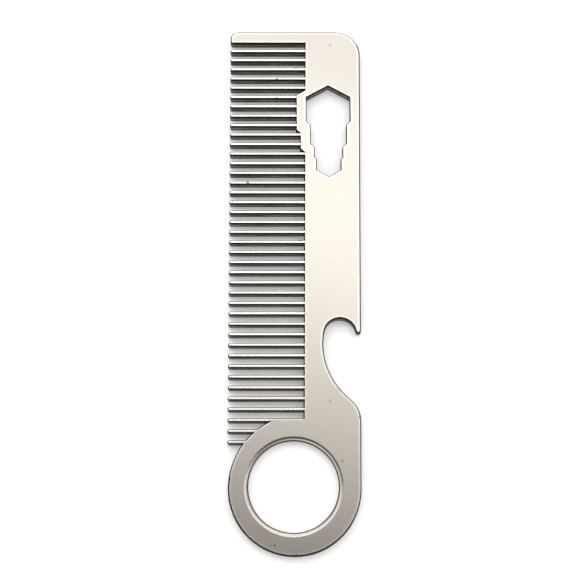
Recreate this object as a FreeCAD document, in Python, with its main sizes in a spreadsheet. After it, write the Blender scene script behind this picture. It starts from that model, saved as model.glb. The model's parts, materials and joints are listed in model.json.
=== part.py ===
import FreeCAD, Part
import math
import os

import Sketcher

# A one-piece beard comb cut from flat stainless plate.
# Frame: the plate lies flat, its back face on Z = 0 and its thickness along +Z.  Y runs along the
# comb, from the finger ring at -Y to the square end at +Y.  The teeth point to -X and the spine is
# on the +X side.  The origin is the middle of the back face.  Millimetres throughout.

DRIVING_DIMENSIONS = {
    # The plate as a whole
    "overall_length": 133.1,
    "overall_width": 33.4,
    "plate_thickness": 2.5,
    "edge_round": 0.4,
    "top_corner_radius": 6.5,
    # The finger ring
    "ring_radius": 15.5,
    "ring_offset": 0.37,
    "ring_hole_left": 0.25,
    "ring_hole_rise": 0.45,
    "ring_hole_radius": 10.5,
    "ring_hole_round": 1.1,
    "ring_blend_radius": 17.5,
    # The teeth
    "tooth_pitch": 2.6,
    "tooth_width": 0.95,
    "tooth_round": 0.3,
    "tooth_count": 40,
    "end_tooth_width": 3.4,
    "end_tooth_radius": 2.0,
    "end_tooth_inner_radius": 0.7,
    "tip_taper": 0.65,
    "tooth_overlap": 0.6,
    # The spine: how far its toothed side lies to the right of the ring's centre
    "root_at_ring": 2.0,
    "root_at_top": 2.88,
    # The stepped wrench slot: widths across flats, and where each straight flat ends
    "slot_offset": 8.75,
    "flats_large": 11.0,
    "flats_second": 9.0,
    "flats_third": 7.0,
    "flats_small": 6.0,
    "slot_apex": 102.15,
    "slot_end_large": 92.4,
    "slot_end_second": 86.3,
    "slot_end_third": 82.5,
    "slot_end_small": 79.1,
    "slot_edge_break": 0.3,
    # The rib of metal that carries the slot's wide end into the teeth
    "rib_width": 2.74,
    "rib_top": 99.75,
    # The hooked bottle opener in the right-hand edge
    "throat_offset": 11.0,
    "throat_height": 36.8,
    "throat_radius": 3.8,
    "belly_radius": 17.2,
    "shoulder_radius": 6.8,
    "shoulder_height": 15.6,
    "hook_tip_radius": 0.65,
}

TAN_30 = math.tan(math.radians(30))
# Straight lines in the notch's sketch close it this far outside the plate.
OUTSIDE = 3.0
# Two points nearer than this are taken as the same place when edges are picked.
CLOSE = 0.05
# An opening counts as clear with less metal than this in it, in cubic millimetres.
TRACE = 0.001
# The last gap that reaches the spine lies below this thin tooth; the next ones end on the ring.
LAST_FULL_GAP = 37
# The rib steps back towards the spine at these two thin teeth.
FIRST_RIB_STEP = 10
SECOND_RIB_STEP = 12
# How a sketch numbers the ends and the centre of a line or arc, and its own origin
START, FINISH, CENTRE = 1, 2, 3
SKETCH_ORIGIN = (-1, START)

doc = FreeCAD.newDocument("BeardComb")


def fill_sheet(dimensions):
    """Put each driving dimension in its own cell, under its own name."""
    sheet = doc.addObject("Spreadsheet::Sheet", "Dims")
    for row, (name, size) in enumerate(dimensions.items(), start=1):
        sheet.set(f"A{row}", name)
        sheet.set(f"B{row}", str(size))
        sheet.setAlias(f"B{row}", name)
    doc.recompute()
    return sheet


sheet = fill_sheet(DRIVING_DIMENSIONS)


def cells(text):
    """Turn {name} in a formula into a reference to that cell of the sheet."""
    references = {name: f"Dims.{name}" for name in DRIVING_DIMENSIONS}
    return text.format(**references)


def value(text):
    """The number that a formula over the sheet gives."""
    return float(sheet.evalExpression(cells(text)))


# Formulas that several sketches share.  Heights are counted from the centre of the ring.
RING_X = "-{ring_offset}"
RING_Y = "({ring_radius} - {overall_length} / 2)"
HOLE_X = f"({RING_X} - {{ring_hole_left}})"
HOLE_Y = f"({RING_Y} + {{ring_hole_rise}})"
TOP_Y = "({overall_length} / 2)"
LEFT_X = "(-{overall_width} / 2)"
RIGHT_X = "({overall_width} / 2)"
SLOT_X = f"({RING_X} + {{slot_offset}})"
END_TOOTH_Y = f"({TOP_Y} - {{end_tooth_width}})"
FIRST_TOOTH_Y = f"({END_TOOTH_Y} - {{tooth_pitch}} + {{tooth_width}} / 2)"
# The row of tips leans in by tip_taper between the end tooth and the centre of the ring.
TIP_STEP = "({tip_taper} * {tooth_pitch} / ({overall_length} - {ring_radius}))"
ROOT_RISE = "(({root_at_top} - {root_at_ring}) / ({overall_length} - {ring_radius}))"
EDGE_LEAN = (f"(({RIGHT_X} - {RING_X} - {{ring_radius}})"
             " / ({overall_length} - {ring_radius} - {top_corner_radius}))")


def above_ring(height):
    """Formula for a height counted from the centre of the ring."""
    return f"({RING_Y} + {height})"


def tooth_height(number):
    """Formula for the middle of a thin tooth, counting the first one as 1."""
    return f"({FIRST_TOOTH_Y} - {number - 1} * {{tooth_pitch}})"


def root_x(height):
    """Formula for the spine's toothed side, which leans a little, at a height in the sketch."""
    return f"({RING_X} + {{root_at_ring}} + {ROOT_RISE} * ({height} - {RING_Y}))"


def edge_x(height):
    """Formula for the spine's outer edge, which leans a little, at a height in the sketch."""
    return f"({RING_X} + {{ring_radius}} + {EDGE_LEAN} * ({height} - {RING_Y}))"


def new_sketch(body, name):
    """An empty sketch on the body's own XY plane."""
    sketch = body.newObject("Sketcher::SketchObject", name)
    planes = body.Origin.OriginFeatures
    sketch.AttachmentSupport = [next(plane for plane in planes if plane.Role == "XY_Plane")]
    sketch.MapMode = "FlatFace"
    return sketch


def bind(sketch, constraint, formula):
    """Add a constraint and tie its value to a formula over the sheet."""
    index = sketch.addConstraint(constraint)
    sketch.setExpression(f"Constraints[{index}]", cells(formula))


def pin_point(sketch, geometry, end, x_formula, y_formula):
    """Tie one point of the sketch to formulas for its X and Y."""
    across = Sketcher.Constraint("DistanceX", *SKETCH_ORIGIN, geometry, end, value(x_formula))
    along = Sketcher.Constraint("DistanceY", *SKETCH_ORIGIN, geometry, end, value(y_formula))
    bind(sketch, across, x_formula)
    bind(sketch, along, y_formula)


def vector(x_formula, y_formula):
    return FreeCAD.Vector(value(x_formula), value(y_formula), 0)


def end_at(sketch, geometry, place):
    """Which end of a line or arc lies at a place."""
    return min((START, FINISH), key=lambda end: sketch.getPoint(geometry, end).distanceToPoint(place))


def join_ends(sketch, places):
    """Join each line or arc of a closed outline to the next, at the places where they meet."""
    count = len(places)
    for index, place in enumerate(places):
        before = (index - 1) % count
        ends = (before, end_at(sketch, before, place), index, end_at(sketch, index, place))
        sketch.addConstraint(Sketcher.Constraint("Coincident", *ends))


def draw_outline(sketch, corners):
    """Draw a closed outline through corners given as pairs of formulas.

    A corner may have a third entry: the centre, as a pair of formulas, of a round side that runs
    from this corner to the next.
    """
    places = [vector(*corner[:2]) for corner in corners]
    for start, finish, corner in zip(places, places[1:] + places[:1], corners):
        if len(corner) == 3:
            arc_between(sketch, vector(*corner[2]), start, finish)
        else:
            sketch.addGeometry(Part.LineSegment(start, finish), False)
    join_ends(sketch, places)
    for index, (place, corner) in enumerate(zip(places, corners)):
        pin_point(sketch, index, end_at(sketch, index, place), *corner[:2])


def arc_between(sketch, centre, start, finish):
    """Add the short arc from start to finish round a centre."""
    sketch.addGeometry(Part.Arc(start, middle_of_arc(start, finish, centre), finish), False)


def middle_of_arc(start, finish, centre):
    """The point halfway along the short arc between two points around a centre."""
    radius = start.distanceToPoint(centre)
    outwards = (start + finish) * 0.5 - centre
    return centre + outwards * (radius / outwards.Length)


def tie_radius(sketch, geometry, formula):
    bind(sketch, Sketcher.Constraint("Radius", geometry, value(formula)), formula)


def pad(body, sketch, name):
    """Pad a sketch through the thickness of the plate."""
    feature = body.newObject("PartDesign::Pad", name)
    feature.Profile = sketch
    feature.setExpression("Length", cells("{plate_thickness}"))
    doc.recompute()
    return feature


def pocket(body, sketch, name):
    """Cut a sketch right through the plate."""
    before = body.Shape.Volume
    feature = body.newObject("PartDesign::Pocket", name)
    feature.Profile = sketch
    feature.Type = "Length"
    feature.Reversed = True
    feature.setExpression("Length", cells("{plate_thickness}"))
    doc.recompute()
    if body.Shape.Volume >= before:
        raise RuntimeError(f"{name} removed no metal")
    return feature


def rib_x(flats):
    """Formula for the toothed side of the rib beside one pair of the slot's flats."""
    return f"({SLOT_X} - {{rib_width}} - {flats} / 2)"


def spine_corners():
    """The spine, the end tooth and the stepped rib, clockwise from the ring's centre line."""
    rib_large = rib_x("{flats_large}")
    rib_second = rib_x("{flats_second}")
    rib_top = above_ring("{rib_top}")
    rib_slope_top = f"({rib_top} + ({root_x(rib_top)} - {rib_large}) * {TAN_30})"
    step = "({flats_large} - {flats_second}) / 2"
    # The steps' corners stay off the middles of the teeth, where the two shapes would not join cleanly.
    first_step = f"({tooth_height(FIRST_RIB_STEP)} + {{tooth_width}} / 4)"
    second_step = f"({tooth_height(SECOND_RIB_STEP)} + {{tooth_width}} / 4)"
    return [
        (root_x(RING_Y), RING_Y),
        (root_x(second_step), second_step),
        (rib_second, f"({second_step} + {step})"),
        (rib_second, first_step),
        (rib_large, f"({first_step} + {step})"),
        (rib_large, rib_top),
        (root_x(rib_top), rib_slope_top),
        (root_x(END_TOOTH_Y), END_TOOTH_Y),
        (LEFT_X, END_TOOTH_Y),
        (LEFT_X, TOP_Y),
        (edge_x(TOP_Y), TOP_Y),
        (f"({RING_X} + {{ring_radius}})", RING_Y),
    ]


def slot_corners():
    """The stepped slot: pointed ends, and four pairs of parallel flats with sloping steps."""
    flats = ["{flats_large}", "{flats_second}", "{flats_third}", "{flats_small}"]
    ends = ["{slot_end_large}", "{slot_end_second}", "{slot_end_third}", "{slot_end_small}"]
    # One side of the slot from the top apex to the bottom one, as half widths and heights
    half_widths = ["0", "{flats_large} / 2"]
    heights = ["{slot_apex}", f"({{slot_apex}} - {{flats_large}} / 2 * {TAN_30})"]
    for number, (width, end) in enumerate(zip(flats, ends)):
        half_widths.append(f"{width} / 2")
        heights.append(end)
        if number + 1 < len(flats):
            narrower = flats[number + 1]
            half_widths.append(f"{narrower} / 2")
            heights.append(f"({end} - ({width} - {narrower}) / 2)")
    half_widths.append("0")
    heights.append(f"({{slot_end_small}} - {{flats_small}} / 2 * {TAN_30})")
    side = list(zip(half_widths, heights))
    right = [(f"({SLOT_X} + {half})", above_ring(height)) for half, height in side]
    left = [(f"({SLOT_X} - {half})", above_ring(height)) for half, height in side[1:-1]]
    return right + left[::-1]


def ring_blend_corners():
    """The metal between the last teeth and the ring, bounded by an arc on the toothed side."""
    ceiling = tooth_height(LAST_FULL_GAP + 1)
    centre_x = root_x(RING_Y)
    radius = "{ring_blend_radius}"
    half_chord = f"sqrt({radius} * {radius} - ({ceiling} - {RING_Y}) * ({ceiling} - {RING_Y}))"
    centre = (centre_x, RING_Y)
    return [
        (f"({centre_x} - {radius})", RING_Y, centre),
        (f"({centre_x} - {half_chord})", ceiling),
        (f"({centre_x} + {{tooth_overlap}})", ceiling),
        (f"({centre_x} + {{tooth_overlap}})", RING_Y),
    ]


def circle_sketch(body, name, x_formula, y_formula, radius_formula):
    sketch = new_sketch(body, name)
    centre = vector(x_formula, y_formula)
    circle = Part.Circle(centre, FreeCAD.Vector(0, 0, 1), value(radius_formula))
    sketch.addGeometry(circle, False)
    tie_radius(sketch, 0, radius_formula)
    pin_point(sketch, 0, CENTRE, x_formula, y_formula)
    return sketch


def tooth_sketch(body):
    """The first thin tooth: a bar with a half-round tip."""
    sketch = new_sketch(body, "ThinToothOutline")
    middle = FIRST_TOOTH_Y
    half = "{tooth_width} / 2"
    tip_centre = f"({LEFT_X} + {half})"
    inner_end = f"({root_x(middle)} + {{tooth_overlap}})"
    upper = f"({middle} + {half})"
    lower = f"({middle} - {half})"
    upper_tip = vector(tip_centre, upper)
    lower_tip = vector(tip_centre, lower)
    lower_root = vector(inner_end, lower)
    upper_root = vector(inner_end, upper)
    tip = vector(f"({tip_centre} - {half})", middle)
    sketch.addGeometry(Part.Arc(upper_tip, tip, lower_tip), False)
    sketch.addGeometry(Part.LineSegment(lower_tip, lower_root), False)
    sketch.addGeometry(Part.LineSegment(lower_root, upper_root), False)
    sketch.addGeometry(Part.LineSegment(upper_root, upper_tip), False)
    join_ends(sketch, [upper_tip, lower_tip, lower_root, upper_root])
    pin_point(sketch, 0, START, tip_centre, upper)
    pin_point(sketch, 0, FINISH, tip_centre, lower)
    across = Sketcher.Constraint("DistanceX", *SKETCH_ORIGIN, 0, CENTRE, value(tip_centre))
    bind(sketch, across, tip_centre)
    pin_point(sketch, 2, START, inner_end, lower)
    pin_point(sketch, 2, FINISH, inner_end, upper)
    return sketch


def circle_touching(first, first_reach, second, second_reach):
    """The right-hand centre at given distances from two other centres."""
    gap = second - first
    distance = gap.Length
    along = (first_reach ** 2 - second_reach ** 2 + distance ** 2) / (2 * distance)
    aside = math.sqrt(first_reach ** 2 - along ** 2)
    unit = gap * (1 / distance)
    normal = FreeCAD.Vector(-unit.y, unit.x, 0)
    options = [first + unit * along + normal * aside, first + unit * along - normal * aside]
    return max(options, key=lambda centre: centre.x)


def point_towards(start, target, distance):
    """The point at a distance from start on the way to target."""
    way = target - start
    return start + way * (distance / way.Length)


def edge_normal():
    """The direction square to the spine's leaning outer edge, pointing out of the plate."""
    lean = value(EDGE_LEAN)
    return FreeCAD.Vector(1, -lean, 0) * (1 / math.hypot(1, lean))


def centre_beside_edge(radius, other, reach):
    """The upper centre of a circle that touches the edge from inside and lies reach from other."""
    normal = edge_normal()
    direction = FreeCAD.Vector(-normal.y, normal.x, 0)
    base = vector(edge_x(RING_Y), RING_Y) - normal * radius
    along = (other - base).dot(direction)
    aside = (other - base).dot(normal)
    swing = math.sqrt(reach ** 2 - aside ** 2)
    return base + direction * (along + swing)


def notch_sketch(body):
    """The opener: shoulder, belly, throat and hook tip, four arcs that run smoothly together."""
    sketch = new_sketch(body, "OpenerOutline")
    throat = value("{throat_radius}")
    belly = value("{belly_radius}")
    shoulder = value("{shoulder_radius}")
    tip = value("{hook_tip_radius}")
    throat_x = f"({RING_X} + {{throat_offset}})"
    throat_y = above_ring("{throat_height}")
    throat_centre = vector(throat_x, throat_y)
    shoulder_y = above_ring("{shoulder_height}")
    shoulder_start = vector(edge_x(shoulder_y), shoulder_y)
    shoulder_centre = shoulder_start - edge_normal() * shoulder
    belly_centre = circle_touching(throat_centre, belly - throat, shoulder_centre, belly + shoulder)
    tip_centre = centre_beside_edge(tip, throat_centre, throat + tip)
    shoulder_end = point_towards(shoulder_centre, belly_centre, shoulder)
    belly_end = point_towards(belly_centre, throat_centre, belly)
    throat_end = point_towards(throat_centre, tip_centre, throat)
    tip_end = tip_centre + edge_normal() * tip
    arc_between(sketch, shoulder_centre, shoulder_start, shoulder_end)
    arc_between(sketch, belly_centre, shoulder_end, belly_end)
    over_the_top = throat_centre + FreeCAD.Vector(0, throat, 0)
    sketch.addGeometry(Part.Arc(belly_end, over_the_top, throat_end), False)
    under_the_tip = tip_centre - FreeCAD.Vector(0, tip, 0)
    sketch.addGeometry(Part.Arc(throat_end, under_the_tip, tip_end), False)
    outside = FreeCAD.Vector(OUTSIDE, 0, 0)
    sketch.addGeometry(Part.LineSegment(tip_end, tip_end + outside), False)
    sketch.addGeometry(Part.LineSegment(tip_end + outside, shoulder_start + outside), False)
    sketch.addGeometry(Part.LineSegment(shoulder_start + outside, shoulder_start), False)
    join_ends(sketch, [shoulder_start, shoulder_end, belly_end, throat_end, tip_end,
                       tip_end + outside, shoulder_start + outside])
    pin_point(sketch, 2, CENTRE, throat_x, throat_y)
    for arc, radius in enumerate(["shoulder", "belly", "throat", "hook_tip"]):
        tie_radius(sketch, arc, f"{{{radius}_radius}}")
    return sketch


def is_upright(edge):
    """True for a straight edge that runs through the thickness of the plate."""
    if not isinstance(edge.Curve, Part.Line):
        return False
    start, finish = edge.Vertexes[0].Point, edge.Vertexes[-1].Point
    return abs(finish.z - start.z) > value("{plate_thickness}") / 2


def upright_edges_at(solid, places):
    """The numbers of the upright edges that stand at any of the places."""
    found = []
    for number, edge in enumerate(solid.Edges, start=1):
        foot = edge.Vertexes[0].Point
        foot.z = 0
        if is_upright(edge) and min(foot.distanceToPoint(place) for place in places) < CLOSE:
            found.append(number)
    return found


def rim_wires(solid):
    """The closed rims of the front and back faces, longest first."""
    faces = [face for face in solid.Faces if face.BoundBox.ZLength < CLOSE / 10]
    return [sorted(face.Wires, key=lambda wire: -wire.Length) for face in faces]


def edges_in_wires(solid, wires):
    """The numbers of the solid's edges that belong to the wires."""
    codes = {edge.hashCode() for wire in wires for edge in wire.Edges}
    return [number for number, edge in enumerate(solid.Edges, start=1) if edge.hashCode() in codes]


def outer_rims(solid):
    return edges_in_wires(solid, [wires[0] for wires in rim_wires(solid)])


def opening_rims(height):
    """A way to find the rims of the opening that spans a height along the comb."""
    def find(solid):
        inner = [wire for wires in rim_wires(solid) for wire in wires[1:]]
        chosen = [wire for wire in inner if wire.BoundBox.YMin < height < wire.BoundBox.YMax]
        return edges_in_wires(solid, chosen)
    return find


def round_edges(body, name, find, radius_formula):
    """Round the edges of the body whose numbers find gives."""
    base = body.Tip
    numbers = find(base.Shape)
    if not numbers:
        raise RuntimeError(f"{name} found no edges")
    feature = body.newObject("PartDesign::Fillet", name)
    feature.Base = (base, [f"Edge{number}" for number in numbers])
    feature.setExpression("Radius", cells(radius_formula))
    doc.recompute()
    return feature


def round_upright_edges(body, name, places, radius_formula):
    """Round the upright edges that stand at the places."""
    return round_edges(body, name, lambda solid: upright_edges_at(solid, places), radius_formula)


def check_document():
    """Stop if any object failed or any solid is missing or broken."""
    for item in doc.Objects:
        if {"Invalid", "Error"} & set(item.State):
            raise RuntimeError(f"{item.Label} failed: {item.State}")
    shape = comb.Shape
    if shape.isNull() or not shape.isValid() or len(shape.Solids) != 1:
        raise RuntimeError("the comb is not one valid solid")
    for outline in ["RingHoleOutline", "WrenchSlotOutline", "OpenerOutline"]:
        if metal_within(outline) > TRACE:
            raise RuntimeError(f"metal is left inside {outline}")
    for number in range(1, int(value("{tooth_count}")) + 1):
        if not has_tooth(number):
            raise RuntimeError(f"thin tooth {number} is missing")


def has_tooth(number):
    """True if there is metal near the tip of a thin tooth, and none in the gap below it."""
    near_tip = f"({LEFT_X} + 2 * {{tooth_width}} + {number - 1} * {TIP_STEP})"
    halfway = FreeCAD.Vector(0, 0, value("{plate_thickness}") / 2)
    in_tooth = vector(near_tip, tooth_height(number)) + halfway
    in_gap = vector(near_tip, f"({tooth_height(number)} - {{tooth_pitch}} / 2)") + halfway
    return comb.Shape.isInside(in_tooth, CLOSE, False) and not comb.Shape.isInside(in_gap, CLOSE, False)


def metal_within(outline):
    """How much of the comb's metal lies inside an outline that was cut right through it."""
    face = Part.Face(doc.getObject(outline).Shape.Wires)
    opening = face.extrude(FreeCAD.Vector(0, 0, value("{plate_thickness}")))
    return comb.Shape.common(opening).Volume


def report_size(body):
    box = body.Shape.BoundBox
    print("X", round(box.XMin, 3), round(box.XMax, 3))
    print("Y", round(box.YMin, 3), round(box.YMax, 3))
    print("Z", round(box.ZMin, 3), round(box.ZMax, 3))
    print("volume", round(body.Shape.Volume, 1))


def make_spine():
    """The plate without its thin teeth: spine, end tooth, ring, and the three openings."""
    body = doc.addObject("PartDesign::Body", "SpinePlate")
    spine_sketch = new_sketch(body, "SpineOutline")
    draw_outline(spine_sketch, spine_corners())
    pad(body, spine_sketch, "Spine")
    pad(body, circle_sketch(body, "RingOutline", RING_X, RING_Y, "{ring_radius}"), "Ring")
    blend_sketch = new_sketch(body, "RingBlendOutline")
    draw_outline(blend_sketch, ring_blend_corners())
    tie_radius(blend_sketch, 0, "{ring_blend_radius}")
    pad(body, blend_sketch, "RingBlend")
    pocket(body, notch_sketch(body), "Opener")
    hole_sketch = circle_sketch(body, "RingHoleOutline", HOLE_X, HOLE_Y, "{ring_hole_radius}")
    pocket(body, hole_sketch, "RingHole")
    slot_sketch = new_sketch(body, "WrenchSlotOutline")
    draw_outline(slot_sketch, slot_corners())
    pocket(body, slot_sketch, "WrenchSlot")
    round_upright_edges(body, "TopCorner", [vector(edge_x(TOP_Y), TOP_Y)], "{top_corner_radius}")
    round_upright_edges(body, "EndTooth", [vector(LEFT_X, TOP_Y)], "{end_tooth_radius}")
    inside = [vector(LEFT_X, END_TOOTH_Y)]
    round_upright_edges(body, "EndToothInside", inside, "{end_tooth_inner_radius}")
    slot_middle = above_ring("{slot_end_second}")
    round_edges(body, "RingHoleRound", opening_rims(value(HOLE_Y)), "{ring_hole_round}")
    round_edges(body, "SlotRound", opening_rims(value(slot_middle)), "{slot_edge_break}")
    round_edges(body, "OuterRound", outer_rims, "{edge_round}")
    return body


def make_tooth():
    """One thin tooth, rounded over on both faces, with its root end buried in the spine."""
    body = doc.addObject("PartDesign::Body", "ThinTooth")
    pad(body, tooth_sketch(body), "ToothBar")
    round_edges(body, "ToothRound", outer_rims, "{tooth_round}")
    return body


def make_row(tooth):
    """The thin teeth side by side, each one a linked copy moved along the leaning row of tips."""
    row = []
    for number in range(int(value("{tooth_count}"))):
        copy = doc.addObject("App::Link", f"Tooth{number + 1}")
        copy.LinkedObject = tooth
        copy.setExpression("Placement.Base.x", cells(f"{number} * {TIP_STEP}"))
        copy.setExpression("Placement.Base.y", cells(f"-{number} * {{tooth_pitch}}"))
        row.append(copy)
    return row


def make_ring_clearance():
    """A disc that ends in the middle of the ring's metal."""
    disc = doc.addObject("Part::Cylinder", "RingClearance")
    disc.setExpression("Radius", cells("({ring_radius} + {ring_hole_radius}) / 2"))
    disc.setExpression("Height", cells("{plate_thickness}"))
    disc.setExpression("Placement.Base.x", cells(RING_X))
    disc.setExpression("Placement.Base.y", cells(RING_Y))
    return disc


def make_slot_clearance():
    """A block over the slot's widest flats, which starts in the middle of the rib beside them."""
    block = doc.addObject("Part::Box", "SlotClearance")
    left = f"({SLOT_X} - {{flats_large}} / 2 - {{rib_width}} / 2)"
    block.setExpression("Length", cells("{flats_large}"))
    block.setExpression("Width", cells("{rib_top} - {slot_end_large}"))
    block.setExpression("Height", cells("{plate_thickness}"))
    block.setExpression("Placement.Base.x", cells(left))
    block.setExpression("Placement.Base.y", cells(above_ring("{slot_end_large}")))
    return block


def make_trimmed_row(row):
    """The row of teeth, cut off inside the metal so that none reaches the ring's hole or the slot."""
    fused = doc.addObject("Part::MultiFuse", "ToothRow")
    fused.Shapes = row
    clearances = doc.addObject("Part::Fuse", "Clearances")
    clearances.Base = make_ring_clearance()
    clearances.Tool = make_slot_clearance()
    trimmed = doc.addObject("Part::Cut", "TrimmedRow")
    trimmed.Base = fused
    trimmed.Tool = clearances
    return trimmed


spine = make_spine()
tooth = make_tooth()
row = make_trimmed_row(make_row(tooth))
comb = doc.addObject("Part::Fuse", "comb_body")
comb.Label = "comb_body"
comb.Base = spine
comb.Tool = row
doc.recompute()

check_document()
os.makedirs("parts", exist_ok=True)
comb.Shape.exportStep(f"parts/{comb.Label}.step")
report_size(comb)
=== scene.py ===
import json
import math

import bpy
from mathutils import Matrix, Vector


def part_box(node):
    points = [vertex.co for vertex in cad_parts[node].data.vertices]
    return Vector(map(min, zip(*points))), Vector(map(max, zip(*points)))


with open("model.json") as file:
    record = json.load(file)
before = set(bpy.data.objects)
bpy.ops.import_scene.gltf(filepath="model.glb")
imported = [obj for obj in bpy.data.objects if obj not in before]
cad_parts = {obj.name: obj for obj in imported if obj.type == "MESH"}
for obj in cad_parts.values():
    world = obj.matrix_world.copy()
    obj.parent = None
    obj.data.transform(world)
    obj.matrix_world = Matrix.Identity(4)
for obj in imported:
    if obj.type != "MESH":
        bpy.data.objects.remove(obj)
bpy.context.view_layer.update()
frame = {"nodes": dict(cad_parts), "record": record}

MM = 0.001

comb = frame["nodes"]["comb_body"]
low, high = (Vector(corner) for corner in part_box("comb_body"))
centre = (low + high) / 2
length = high.y - low.y
thickness = high.z - low.z
hole = next(mount for mount in frame["record"]["mounts"] if mount["name"] == "finger_ring")

# The camera looks down at the comb from above the ring's end, tilted towards the square end.
CAMERA_HEIGHT = 2.05 * length
CAMERA_BACK = 0.628 * length
CAMERA_SIDE = -0.0204 * length
CAMERA_TILT = math.radians(16.49)
CAMERA_TURN = math.radians(0.17)
CLIP_START = 0.01
LENS_MM = 73.25
SENSOR_MM = 36.0

FLOOR_SIZE = 20.0
FLOOR_GAP = 0.1 * MM
FLOOR_GRAIN = 2 * MM
FLOOR_TONES = [(0.3, 0.95), (0.7, 0.97)]
FLOOR_ROUGHNESS = 0.9
FLOOR_SPECULAR = 0.1
FLOOR_GLOW = 0.27

# The tent has an opening for the camera, slightly slanted. Its middle lies a little way from
# overhead, towards the ring's end. Distances from the middle, in a direction's X and Y, count
# for less across the comb, so the opening is longest that way, and for less on the ring's side,
# where the tones change more slowly.
OPENING_REACH = 0.17
OPENING_LEAN = 0.2
OPENING_ACROSS = 0.5
OPENING_BACK = 0.5
TENT_STRENGTH = 3.3
# The tent's colour at each distance from the middle of the opening
TENT = [
    (0.14, (0.011, 0.010, 0.009, 1)),
    (0.24, (0.06, 0.055, 0.05, 1)),
    (0.30, (0.23, 0.22, 0.21, 1)),
    (0.35, (0.38, 0.37, 0.365, 1)),
    (0.42, (0.35, 0.35, 0.35, 1)),
    (0.46, (0.90, 0.91, 0.91, 1)),
    (0.56, (0.82, 0.83, 0.83, 1)),
    (0.65, (0.43, 0.42, 0.425, 1)),
    (0.80, (0.56, 0.56, 0.56, 1)),
]
# Grey cards dim the tent's two sides, and its foot is dimmer than its top: the light that is
# left, by a direction's sideways part and by its upward part
CARDS = [(0.30, 1), (0.70, 0.6)]
TENT_FOOT = [(0.0, 0.7), (0.25, 0.8), (0.55, 1)]

# Linear colours of the steel
FACE = (0.50, 0.47, 0.425, 1)
FACE_DULL = (0.475, 0.447, 0.404, 1)
# The bright edge colour: wear, and partly a painted highlight along the edges and over the teeth
WORN_AND_HIGHLIGHT = (0.86, 0.835, 0.79, 1)
# The rim colour: painted shade, a dark outline along the rounded rims
DARK_RIM_SHADE = (0.02, 0.018, 0.015, 1)
CUT_DARK = (0.03, 0.027, 0.022, 1)
CUT_LIGHT = (0.50, 0.465, 0.40, 1)
PIT = (0.06, 0.053, 0.042, 1)

# Streaks in the finish and on the cut walls: their width, and how many times longer they are
BRUSH_WIDTH = 0.5 * MM
BRUSH_STRETCH = 12
MOTTLE_WIDTH = 0.8 * MM
MOTTLE_STRETCH = 6
CLOUD_SIZE = 9 * MM

# Pits lie all over the plate, and chips only where it is worn. The share is how many of the
# possible places, one to a spacing, have one.
PITS = {"spacing": 8.0 * MM, "radius": 0.18 * MM, "share": 0.4}
CHIPS = {"spacing": 2.4 * MM, "radius": 0.36 * MM, "share": 0.07}
# How deep a mark is sunk, against the height of a streak in the finish
MARK_DEPTH = 2.0

# Wear, with a painted highlight, by the share of the directions into the metal that meet no
# surface
# within this reach: full where the share is low, as at an edge, and none in the middle of the
# plate
EDGE_REACH = 1.0 * MM
EDGE_WEAR_AND_HIGHLIGHT = [(0.58, 1), (0.86, 0)]

# Where face, rim and cut wall meet, by how squarely the surface faces up or down (1 is flat).
# In the ring's hole, which is rounded more than the rest, the face reaches further round and
# the wall further up.
OUTER_FACE = [(0.94, 0), (0.99, 1)]
HOLE_FACE = [(0.56, 0), (0.76, 1)]
# The rim masks place painted shade, a dark outline on the rounded rims
OUTER_RIM_SHADE = [(0.05, 0), (0.25, 1)]
HOLE_RIM_SHADE = [(0.18, 0), (0.32, 1)]

# The cut walls' patches, and by height as a part of the thickness, a painted reflection as a
# lighter band halfway up them and painted shade darkening them towards their top and bottom edges
PATCHES = [(0.35, 0.2), (0.65, 0.9)]
WALL_LIGHT_AND_SHADE = [(0.15, 0), (0.25, 0.2), (0.40, 0.2), (0.50, 1), (0.62, 0.25), (0.80, 0.1), (0.92, 0)]

FACE_ROUGHNESS = [(0.3, 0.25), (0.7, 0.27)]
EDGE_ROUGHNESS = 0.5
BUMP_STRENGTH = 0.015
BUMP_DISTANCE = 0.02 * MM


def add_camera():
    data = bpy.data.cameras.new("camera")
    data.lens = LENS_MM
    data.sensor_width = SENSOR_MM
    data.clip_start = CLIP_START
    camera = bpy.data.objects.new("camera", data)
    camera.location = (CAMERA_SIDE, centre.y - CAMERA_BACK, high.z + CAMERA_HEIGHT)
    turn = Matrix.Rotation(CAMERA_TILT, 3, "X") @ Matrix.Rotation(-CAMERA_TURN, 3, "Y")
    camera.rotation_euler = turn.to_euler()
    bpy.context.collection.objects.link(camera)
    bpy.context.scene.camera = camera


def new_material(name):
    """A new node material, with its node tree and its shader."""
    material = bpy.data.materials.new(name)
    material.use_nodes = True
    tree = material.node_tree
    return material, tree, tree.nodes["Principled BSDF"]


def node(tree, kind, inputs=None, **settings):
    """Add a node, set its properties, and set or link its inputs."""
    made = tree.nodes.new(kind)
    for name, setting in settings.items():
        setattr(made, name, setting)
    for socket, source in (inputs or {}).items():
        if isinstance(source, bpy.types.NodeSocket):
            tree.links.new(source, made.inputs[socket])
        else:
            made.inputs[socket].default_value = source
    return made


def math_node(tree, operation, first, second=0.0):
    return node(tree, "ShaderNodeMath", {0: first, 1: second}, operation=operation).outputs[0]


def vector_node(tree, operation, first, second=(0, 0, 0)):
    made = node(tree, "ShaderNodeVectorMath", {0: first, 1: second}, operation=operation)
    return made.outputs["Value" if operation == "LENGTH" else "Vector"]


def mix_colour(tree, factor, first, second):
    mixer = node(tree, "ShaderNodeMix", {0: factor, 6: first, 7: second}, data_type="RGBA")
    return mixer.outputs[2]


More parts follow.
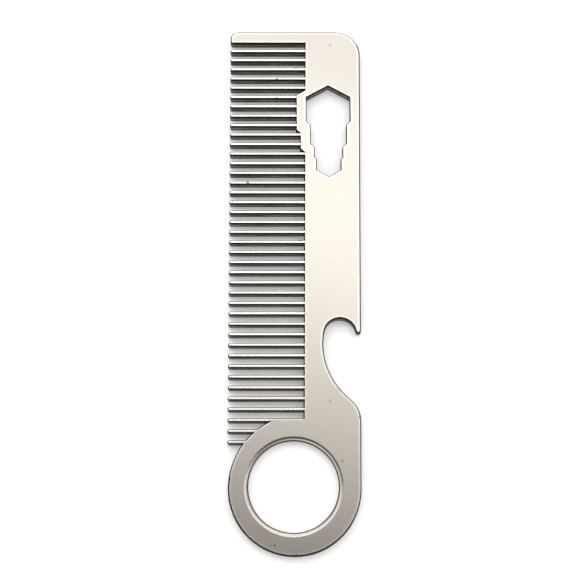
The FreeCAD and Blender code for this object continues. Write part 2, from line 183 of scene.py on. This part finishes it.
def ramp(tree, factor, stops):
    """A colour ramp through (position, colour) stops."""
    made = node(tree, "ShaderNodeValToRGB", {0: factor})
    elements = made.color_ramp.elements
    while len(elements) < len(stops):
        elements.new(1.0)
    for element, (position, colour) in zip(elements, stops):
        element.position = position
        element.color = colour
    return made.outputs[0]


def grey(level):
    return (level, level, level, 1)


def grey_ramp(tree, factor, stops):
    """A ramp through (position, level) stops."""
    return ramp(tree, factor, [(position, grey(level)) for position, level in stops])


def noise(tree, place, size, detail=2.0):
    inputs = {"Vector": place, "Scale": 1 / size, "Detail": detail}
    return node(tree, "ShaderNodeTexNoise", inputs).outputs[0]


def streaks(tree, place, width, stretch):
    """A noise whose patches are drawn out across the comb."""
    scale = (1 / stretch, 1, 1)
    drawn_out = node(tree, "ShaderNodeMapping", {"Vector": place, "Scale": scale}).outputs[0]
    return noise(tree, drawn_out, width, 3.0)


def specks(tree, place, spacing, radius, share):
    """Small round spots scattered over the plate: 1 inside a spot and 0 elsewhere."""
    cells = node(tree, "ShaderNodeTexVoronoi", {"Vector": place, "Scale": 1 / spacing},
                 voronoi_dimensions="2D")
    near = math_node(tree, "LESS_THAN", cells.outputs["Distance"], radius / spacing)
    chosen = node(tree, "ShaderNodeSeparateColor", {0: cells.outputs["Color"]}).outputs[0]
    return math_node(tree, "MULTIPLY", near, math_node(tree, "LESS_THAN", chosen, share))


def separate(tree, vector):
    return node(tree, "ShaderNodeSeparateXYZ", {0: vector}).outputs


def inside_hole(tree, place):
    """1 on the wall and the rounded rims of the finger ring's hole, 0 elsewhere."""
    away = vector_node(tree, "SUBTRACT", place, Vector(hole["pos_m"]))
    flat = vector_node(tree, "MULTIPLY", away, (1, 1, 0))
    reach = hole["dims"]["r_mm"] * MM + thickness / 2
    return math_node(tree, "LESS_THAN", vector_node(tree, "LENGTH", flat), reach)


def near_edge(tree):
    """1 close to an edge and all over a tooth, 0 in the middle of the plate."""
    buried = node(tree, "ShaderNodeAmbientOcclusion", {"Distance": EDGE_REACH},
                  inside=True, only_local=True, samples=4).outputs["AO"]
    return grey_ramp(tree, buried, EDGE_WEAR_AND_HIGHLIGHT)


def cut_wall(tree, place):
    """The cut side walls: dark and mottled, with a painted reflection as a lighter band halfway up
    and painted shade towards the top and bottom edges.
    """
    height = math_node(tree, "DIVIDE", separate(tree, place)[2], thickness)
    mottle = grey_ramp(tree, streaks(tree, place, MOTTLE_WIDTH, MOTTLE_STRETCH), PATCHES)
    amount = math_node(tree, "MULTIPLY", mottle, grey_ramp(tree, height, WALL_LIGHT_AND_SHADE))
    return mix_colour(tree, amount, CUT_DARK, CUT_LIGHT)


def satin_steel():
    """Satin stainless plate: bright along its edges, partly wear and partly a painted highlight,
    with painted shade darkening its rims, and dark cut side walls.
    """
    material, tree, shader = new_material("satin_steel")
    place = node(tree, "ShaderNodeTexCoord").outputs["Object"]
    facing = separate(tree, node(tree, "ShaderNodeNewGeometry").outputs["Normal"])[2]
    flatness = math_node(tree, "ABSOLUTE", facing)
    in_hole = inside_hole(tree, place)

    brushed = streaks(tree, place, BRUSH_WIDTH, BRUSH_STRETCH)
    cloud = noise(tree, place, CLOUD_SIZE)
    tone = math_node(tree, "MULTIPLY", math_node(tree, "ADD", brushed, cloud), 0.5)
    # Wear along the edges, with a painted highlight there and over the teeth; none in the ring's
    # hole
    wear_and_highlight = math_node(tree, "MAXIMUM", math_node(tree, "SUBTRACT", near_edge(tree), in_hole), 0.0)
    pits = specks(tree, place, **PITS)
    chips = math_node(tree, "MULTIPLY", specks(tree, place, **CHIPS), wear_and_highlight)
    marks = math_node(tree, "MAXIMUM", pits, chips)
    face = mix_colour(tree, tone, FACE_DULL, FACE)
    face = mix_colour(tree, wear_and_highlight, face, WORN_AND_HIGHLIGHT)
    face = mix_colour(tree, marks, face, PIT)

    outer_face = grey_ramp(tree, flatness, OUTER_FACE)
    hole_face = grey_ramp(tree, flatness, HOLE_FACE)
    is_face = mix_colour(tree, in_hole, outer_face, hole_face)
    # Painted shade: a dark outline on the rims
    outer_rim_shade_mask = grey_ramp(tree, flatness, OUTER_RIM_SHADE)
    hole_rim_shade_mask = grey_ramp(tree, flatness, HOLE_RIM_SHADE)
    rim_shade_mask = mix_colour(tree, in_hole, outer_rim_shade_mask, hole_rim_shade_mask)
    wall = mix_colour(tree, in_hole, cut_wall(tree, place), CUT_LIGHT)
    edge = mix_colour(tree, rim_shade_mask, wall, DARK_RIM_SHADE)
    tree.links.new(mix_colour(tree, is_face, edge, face), shader.inputs["Base Color"])

    rough = grey_ramp(tree, brushed, FACE_ROUGHNESS)
    rough = mix_colour(tree, is_face, grey(EDGE_ROUGHNESS), rough)
    tree.links.new(rough, shader.inputs["Roughness"])
    shader.inputs["Metallic"].default_value = 1.0

    sunk = math_node(tree, "MULTIPLY", marks, MARK_DEPTH)
    relief = math_node(tree, "SUBTRACT", brushed, sunk)
    bump = {"Height": relief, "Strength": BUMP_STRENGTH, "Distance": BUMP_DISTANCE}
    tree.links.new(node(tree, "ShaderNodeBump", bump).outputs[0], shader.inputs["Normal"])
    return material


def floor_material():
    """Matt white card with a barely visible grain, glowing a little so that it comes out white."""
    material, tree, shader = new_material("white_card")
    place = node(tree, "ShaderNodeTexCoord").outputs["Object"]
    colour = grey_ramp(tree, noise(tree, place, FLOOR_GRAIN, 3.0), FLOOR_TONES)
    tree.links.new(colour, shader.inputs["Base Color"])
    shader.inputs["Roughness"].default_value = FLOOR_ROUGHNESS
    shader.inputs["Specular IOR Level"].default_value = FLOOR_SPECULAR
    shader.inputs["Emission Color"].default_value = grey(1)
    shader.inputs["Emission Strength"].default_value = FLOOR_GLOW
    return material


def add_floor():
    place = (centre.x, centre.y, low.z - FLOOR_GAP)
    bpy.ops.mesh.primitive_plane_add(size=FLOOR_SIZE, location=place)
    floor = bpy.context.object
    floor.name = "floor"
    floor.data.materials.append(floor_material())


def distance_from_opening(tree, across, along):
    """How far a direction is from the middle of the tent's opening."""
    slanted = math_node(tree, "ADD", along, math_node(tree, "MULTIPLY", across, OPENING_LEAN))
    ahead = math_node(tree, "ADD", slanted, OPENING_REACH)
    behind = math_node(tree, "MULTIPLY", ahead, -OPENING_BACK)
    past = math_node(tree, "MAXIMUM", ahead, behind)
    beside = math_node(tree, "MULTIPLY", across, OPENING_ACROSS)
    squares = [math_node(tree, "MULTIPLY", side, side) for side in (past, beside)]
    return math_node(tree, "SQRT", math_node(tree, "ADD", *squares))


def add_studio():
    """A white tent round the comb, dark at its opening overhead, dimmer at its sides and foot."""
    world = bpy.data.worlds.new("studio")
    bpy.context.scene.world = world
    world.use_nodes = True
    tree = world.node_tree
    direction = node(tree, "ShaderNodeTexCoord").outputs["Generated"]
    across, along, up = separate(tree, direction)
    light = ramp(tree, distance_from_opening(tree, across, along), TENT)
    cards = grey_ramp(tree, math_node(tree, "ABSOLUTE", across), CARDS)
    foot = grey_ramp(tree, up, TENT_FOOT)
    for dimming in (cards, foot):
        light = vector_node(tree, "MULTIPLY", light, dimming)
    background = tree.nodes["Background"]
    tree.links.new(light, background.inputs["Color"])
    background.inputs["Strength"].default_value = TENT_STRENGTH


add_camera()
add_studio()
add_floor()
for slot in comb.material_slots:
    slot.material = satin_steel()
bpy.context.scene.view_settings.view_transform = "Standard"
